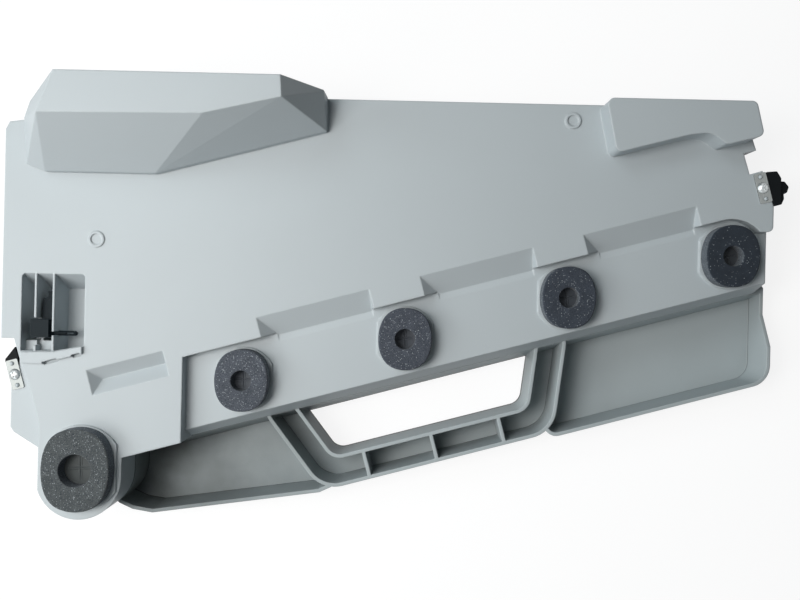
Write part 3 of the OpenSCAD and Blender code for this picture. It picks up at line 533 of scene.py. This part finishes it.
def makeSlitDisc(name, port, bore, turn):
    # polar grid; the top dips at a cross of two closed cuts and swells into a lip beside each of them
    node = "diaphragm_" + port
    low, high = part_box(node)
    centre = (np.array(low) + np.array(high)) / 2 / mm
    bottom, top = low[2] / mm, high[2] / mm
    outer = (high[0] - low[0]) / 2 / mm
    radii = np.concatenate([
        np.linspace(slitDisc["middle"], bore / 2, slitDisc["boreSteps"]),
        np.linspace(bore / 2, outer, slitDisc["rimSteps"])[1:]])
    angle = np.linspace(0, 2 * math.pi, slitDisc["around"], endpoint=False)
    r, a = np.meshgrid(radii, angle, indexing="xy")
    x, y = r * np.cos(a), r * np.sin(a)
    u = x * math.cos(turn) + y * math.sin(turn)
    v = -x * math.sin(turn) + y * math.cos(turn)
    groove = np.zeros_like(x)
    lips = np.zeros_like(x)
    for along, off in ((u, v), (v, u)):
        fade = np.clip((bore * slitDisc["cut"] - np.abs(along)) / slitDisc["cutFade"], 0, 1)
        beside = (np.abs(off) - slitDisc["lipWidth"]) / slitDisc["lipSpread"]
        groove = np.maximum(groove, fade * np.exp(-(off / slitDisc["grooveWidth"]) ** 2))
        lips = np.maximum(lips, fade * np.exp(-beside ** 2))
    sag = slitDisc["sag"] * np.clip(1 - (2 * r / bore) ** 2, 0, 1)
    hollow = slitDisc["lipHeight"] * (2 * r < bore) + sag
    upper = top - hollow * (1 - lips) - slitDisc["grooveDepth"] * groove
    under = bottom - slitDisc["sagBelow"] * sag
    upper = np.maximum(upper, under + slitDisc["thinnest"])
    faces = [np.stack([centre[0] + x, centre[1] + y, z], axis=-1) for z in (upper, under)]
    disc = meshFromGrid(name, np.concatenate([faces[0], faces[1][:, ::-1]], axis=1) * mm)
    disc.data.materials.append(slitRubber[port])
    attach(disc, "tray")
    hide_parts(node)


for number in range(1, 5):
    makeSlitDisc(f"slitDisc{number}", str(number), foamRing["small"]["bore"], 0.05 * number)
makeSlitDisc("slitDiscLarge", "large", foamRing["large"]["bore"], 0.03)
print("slit discs made")


# floor, light and camera

studio = {
    "floorSize": 6.0, "floorZ": -0.0003, "floorColor": rgb(110, 111, 112), "floorGlow": 0.86,
    "aim": (0.0, 0.0, 0.04),
    "fillColor": (0.85, 0.95, 1.0, 1.0), "fillStrength": 0.08,
}

# a window along the left side, as five soft lamps, and a low one from the front left; angles in degrees round and
# above the object, distances in metres, power in watts
nearColor = (1.0, 0.97, 0.94)
farColor = (0.88, 0.97, 1.0)
lamps = {
    "nearLow": {"around": 205.0, "above": 35.0, "away": 0.8, "size": 0.32, "power": 1.5, "color": nearColor},
    "nearSide": {"around": 185.0, "above": 55.0, "away": 0.8, "size": 0.32, "power": 2.5, "color": nearColor},
    "nearHigh": {"around": 165.0, "above": 68.0, "away": 0.66, "size": 0.26, "power": 1.45, "color": nearColor},
    "farBack": {"around": 135.0, "above": 45.0, "away": 1.8, "size": 0.72, "power": 5.2, "color": farColor},
    "farSide": {"around": 175.0, "above": 25.0, "away": 1.8, "size": 0.72, "power": 7.0, "color": farColor},
    "frontLow": {"around": 250.0, "above": 12.0, "away": 1.8, "size": 0.9, "power": 3.4, "color": farColor},
}
camera = {"height": 0.468, "turn": 1.3, "lens": 31.77, "sensor": 36.0, "nearest": 0.01}


def seenWhite(tree, x, y):
    # 1 for a ray from the camera or through gloss or glass, 0 for light that falls on the object
    path = addNode(tree, "ShaderNodeLightPath", (x, y)).outputs
    seen = mathNode(tree, "MAXIMUM", path["Is Camera Ray"], path["Is Glossy Ray"], place=(x + 200, y))
    return mathNode(tree, "MAXIMUM", seen, path["Is Transmission Ray"], place=(x + 400, y))


def makeFloor():
    half = studio["floorSize"] / 2
    x, y = np.meshgrid(np.linspace(-half, half, 3), np.linspace(-half, half, 3), indexing="ij")
    grid = np.stack([x, y, np.full_like(x, studio["floorZ"])], axis=-1)
    floor = meshFromGrid("floor", grid, closed=False)
    material = bpy.data.materials.new("floorPaper")
    tree = emptyTree(material)
    paper = addNode(tree, "ShaderNodeBsdfDiffuse", (0, 100), {"Color": studio["floorColor"]})
    white = mathNode(tree, "MULTIPLY", seenWhite(tree, -900, -200), studio["floorGlow"], place=(-200, -200))
    glow = addNode(tree, "ShaderNodeEmission", (0, -100), {"Strength": white})
    both = addNode(tree, "ShaderNodeAddShader", (200, 0), {0: paper.outputs[0], 1: glow.outputs[0]})
    addNode(tree, "ShaderNodeOutputMaterial", (400, 0), {"Surface": both.outputs[0]})
    floor.data.materials.append(material)


def makeWorld():
    world = bpy.data.worlds.new("studio")
    bpy.context.scene.world = world
    tree = emptyTree(world)
    fill = addNode(tree, "ShaderNodeBackground", (0, 100),
                   {"Color": studio["fillColor"], "Strength": studio["fillStrength"]})
    white = addNode(tree, "ShaderNodeBackground", (0, -100), {"Color": (1, 1, 1, 1), "Strength": 1.0})
    pick = addNode(tree, "ShaderNodeMixShader", (250, 0),
                   {0: seenWhite(tree, -700, 0), 1: fill.outputs[0], 2: white.outputs[0]})
    addNode(tree, "ShaderNodeOutputWorld", (500, 0), {"Surface": pick.outputs[0]})


def makeLamp(name, spec):
    # a disc of light that faces the aim from its place on a sphere round it
    light = bpy.data.lights.new(name, "AREA")
    light.shape = "DISK"
    light.size = spec["size"]
    light.energy = spec["power"]
    light.color = spec["color"]
    lamp = bpy.data.objects.new(name, light)
    bpy.context.scene.collection.objects.link(lamp)
    around, above = math.radians(spec["around"]), math.radians(spec["above"])
    out = np.array([math.cos(above) * math.cos(around), math.cos(above) * math.sin(around), math.sin(above)])
    lamp.location = np.array(studio["aim"]) + out * spec["away"]
    lamp.rotation_euler = (math.pi / 2 - above, 0, around + math.pi / 2)


def makeCamera():
    # it looks straight down, as in the photograph
    data = bpy.data.cameras.new("overhead")
    data.sensor_fit = "HORIZONTAL"
    data.sensor_width = camera["sensor"]
    data.lens = camera["lens"]
    data.clip_start = camera["nearest"]
    eye = bpy.data.objects.new("overhead", data)
    bpy.context.scene.collection.objects.link(eye)
    eye.location = (0, 0, camera["height"])
    eye.rotation_euler = (0, 0, math.radians(camera["turn"]))
    bpy.context.scene.camera = eye


makeFloor()
makeWorld()
for name, spec in lamps.items():
    makeLamp(name, spec)
makeCamera()
bpy.context.scene.view_settings.view_transform = "Standard"
print("studio ready")
